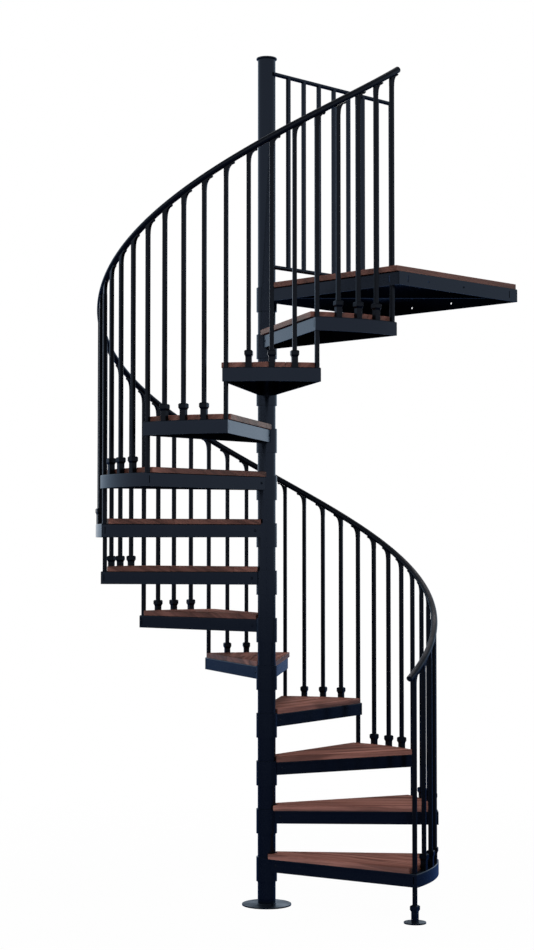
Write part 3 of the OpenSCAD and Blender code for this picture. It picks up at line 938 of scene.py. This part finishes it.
def landing_screw_tree(stair, sizes, material):
    """Rows of screws up through the landing's sheet into its boards."""
    low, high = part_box("landing_deck")
    tree = GeometryTree("landing_screws", material, {
        "Width": LANDING_FIELD[0] * (high[0] - low[0]), "Depth": LANDING_FIELD[1] * (high[1] - low[1]),
        "Middle X": LANDING_MIDDLE[0] * (high[0] + low[0]),
        "Middle Y": LANDING_MIDDLE[1] * (high[1] + low[1]),
        "Height": low[2] - stair.sheet, "Head": sizes.tray_head})
    rows = tree.get("GeometryNodeMeshGrid", {
        "Size X": tree["Width"], "Size Y": tree["Depth"],
        "Vertices X": LANDING_ROWS[0], "Vertices Y": LANDING_ROWS[1]})
    placed = tree.moved(rows, tree["Middle X"], tree["Middle Y"], tree["Height"])
    return tree.spread(placed, (pi, 0.0, 0.0), screw_head(tree))


def bar_plug_tree(stair, sizes, material):
    """A moulded plug in the lower end of every long baluster above the first."""
    tree = GeometryTree("baluster_plugs", material, {
        "Count": LEVELS, "Low Turn": -(LEVELS - 1) * stair.tread_pitch,
        "Tread Pitch": stair.tread_pitch, "Radius": stair.bar_radius, "Rise": stair.rise,
        "Height": stair.first_top - stair.wood_thick - sizes.tray_depth + sizes.plug_lift,
        "Width": stair.bar_width, "Thick": sizes.plug_thick})
    number = tree.number()
    turn = tree["Low Turn"] + number * tree["Tread Pitch"]
    place = tree.polar(tree["Radius"], turn, tree["Height"] + number * tree["Rise"] - tree["Thick"] / 2.0)
    side = tree["Width"] * PLUG_WIDTH
    section = tree.get("GeometryNodeCurvePrimitiveQuadrilateral", {"Width": side, "Height": side})
    round_off = tree.get("GeometryNodeFilletCurve", {
        "Curve": section, "Radius": tree["Width"] * PLUG_ROUND, "Limit Radius": True})
    upright = tree.get("GeometryNodeCurvePrimitiveLine", {
        "Start": tree.vector(0.0, 0.0, tree["Thick"] * -0.5),
        "End": tree.vector(0.0, 0.0, tree["Thick"] * 0.5)})
    return tree.scatter(place, tree.vector(0.0, 0.0, turn), tree.tube(upright, round_off, True))


def weld_tree(stair, sizes, material):
    """A rippled weld bead round the pole's foot."""
    tree = GeometryTree("pole_weld", material, {
        "Radius": stair.pole_radius, "Bead": sizes.bead, "Height": node_high("base_plate", 2)})
    raised = tree.moved(tree.circle(WELD_STEPS, tree["Radius"]), 0.0, 0.0, tree["Height"])
    ripple = 1.0 + RIPPLE * tree.math("SINE", tree.number() * RIPPLE_TURN)
    waved = tree.get("GeometryNodeSetCurveRadius", {"Curve": raised, "Radius": ripple})
    return tree.close(tree.smooth(tree.tube(waved, tree.circle(BEAD_SIDES, tree["Bead"]), False)))


class STAIR_OT_fasteners(Operator):
    """Make the screws, the baluster plugs and the weld bead"""

    bl_idname = "stair.fasteners"
    bl_label = "Fasteners"

    def execute(self, context):
        scene = context.scene
        stair = scene.stair_sizes
        sizes = scene.stair_fasteners
        steel = shared_material(screw_material, "blackened_screw")
        plastic = shared_material(plug_material, "moulded_plug")
        trees = (
            saddle_screw_tree(stair, scene.stair_rail, sizes, steel),
            set_screw_tree(stair, sizes, steel),
            tray_screw_tree(stair, sizes, steel),
            hub_screw_tree(stair, scene.stair_boards, sizes, plate_coat()),
            landing_screw_tree(stair, sizes, steel),
            bar_plug_tree(stair, sizes, plastic),
            weld_tree(stair, sizes, plate_coat()),
        )
        for tree in trees:
            attach(tree.grow())
        return {"FINISHED"}


class STAIR_OT_coating(Operator):
    """Put a finish on every node of the frame"""

    bl_idname = "stair.coating"
    bl_label = "Frame Finishes"

    def execute(self, context):
        wood = wood_finishes()[0]
        for part in frame["record"]["subparts"]:
            node = frame["nodes"][part["node"]]
            steel = bar_coat() if part["node"] in BAR_NODES else plate_coat()
            for slot in node.material_slots:
                slot.material = wood if part["material_slot"] == WOOD_SLOT else steel
        return {"FINISHED"}


def add_camera(scene, stage):
    """The camera at eye height in front of the stair."""
    camera = add_object("stair_camera", bpy.data.cameras.new("stair_camera"))
    camera.data.lens = stage.lens
    camera.data.sensor_width = SENSOR_WIDTH
    camera.location = stage.eye
    camera.rotation_euler = (pi / 2 + stage.pitch, 0.0, stage.heading)
    scene.camera = camera


def add_floor(stage):
    """A wide floor under the stair."""
    bm = bmesh.new()
    bmesh.ops.create_grid(bm, x_segments=FLOOR_CELLS, y_segments=FLOOR_CELLS, size=stage.floor_half)
    floor = add_object("stage_floor", mesh_from(bm, "stage_floor"), floor_material("pale_floor"))


def add_light(name, power, spread):
    """A square soft light aimed at a point, hidden from the eye and from reflections."""
    place, target, side = LIGHTS[name]
    data = bpy.data.lights.new(name, "AREA")
    data.shape = "SQUARE"
    data.size = side
    data.energy = power
    data.spread = spread
    lamp = add_object(name, data)
    lamp.location = place
    aim = [t - p for t, p in zip(target, place)]
    flat = sqrt(aim[0] ** 2 + aim[1] ** 2)
    lamp.rotation_euler = (atan2(flat, -aim[2]), 0.0, atan2(aim[1], aim[0]) - pi / 2)
    lamp.visible_glossy = False
    lamp.visible_camera = False


def add_sky(scene, stage):
    """A white room: plain white to the eye, dimmer overhead in reflections, and light from above."""
    world = bpy.data.worlds.new("white_studio")
    scene.world = world
    world.use_nodes = True
    world.node_tree.nodes.clear()
    graph = Graph(world.node_tree)
    camera, glossy, through = ray_kinds(graph)
    shown = graph.clamp01(camera + through)
    height = graph.part(graph.get("ShaderNodeTexCoord", out="Generated"), 2)
    even = stage.ambient * graph.math("POWER", graph.clamp01(height), SKY_FALLOFF)
    mirrored = graph.remap(height, *GLOSS_SKY, 1.0, stage.zenith)
    sky = graph.get("ShaderNodeBackground", {
        "Color": (1.0, 1.0, 1.0, 1.0),
        "Strength": shown + glossy * mirrored + (1.0 - shown - glossy) * even})
    graph.node("ShaderNodeOutputWorld", {"Surface": sky})


class STAIR_OT_stage(Operator):
    """Make the camera, the floor and the light"""

    bl_idname = "stair.stage"
    bl_label = "Stage"

    def execute(self, context):
        scene = context.scene
        stage = scene.stair_stage
        scene.view_settings.view_transform = "Standard"
        add_camera(scene, stage)
        add_floor(stage)
        add_light("key_light", stage.key_power, stage.key_spread)
        add_light("fill_light", stage.fill_power, stage.key_spread)
        add_light("bounce_light", stage.bounce_power, pi)
        add_sky(scene, stage)
        return {"FINISHED"}


STEPS = (STAIR_OT_stage, STAIR_OT_coating, STAIR_OT_treads, STAIR_OT_landing, STAIR_OT_handrail,
         STAIR_OT_fasteners)


class STAIR_PT_panel(Panel):
    """Lists the steps that dress the stair, with their sizes"""

    bl_label = "Spiral Stair"
    bl_idname = "STAIR_PT_panel"
    bl_space_type = "VIEW_3D"
    bl_region_type = "UI"
    bl_category = "Stair"

    def draw(self, context):
        for step in STEPS:
            self.layout.operator(step.bl_idname)
        for name, group in GROUPS.items():
            box = self.layout.box()
            box.label(text=group.__doc__)
            settings = getattr(context.scene, name)
            for key in group.__annotations__:
                box.prop(settings, key)


CLASSES = (*GROUPS.values(), *STEPS, STAIR_PT_panel)


def register():
    for cls in CLASSES:
        bpy.utils.register_class(cls)
    for name, group in GROUPS.items():
        setattr(Scene, name, PointerProperty(type=group))


def unregister():
    for name in GROUPS:
        delattr(Scene, name)
    for cls in reversed(CLASSES):
        bpy.utils.unregister_class(cls)


def main():
    register()
    bpy.ops.stair.stage()
    bpy.ops.stair.coating()
    bpy.ops.stair.treads()
    bpy.ops.stair.landing()
    bpy.ops.stair.handrail()
    bpy.ops.stair.fasteners()


if __name__ == "__main__":
    main()
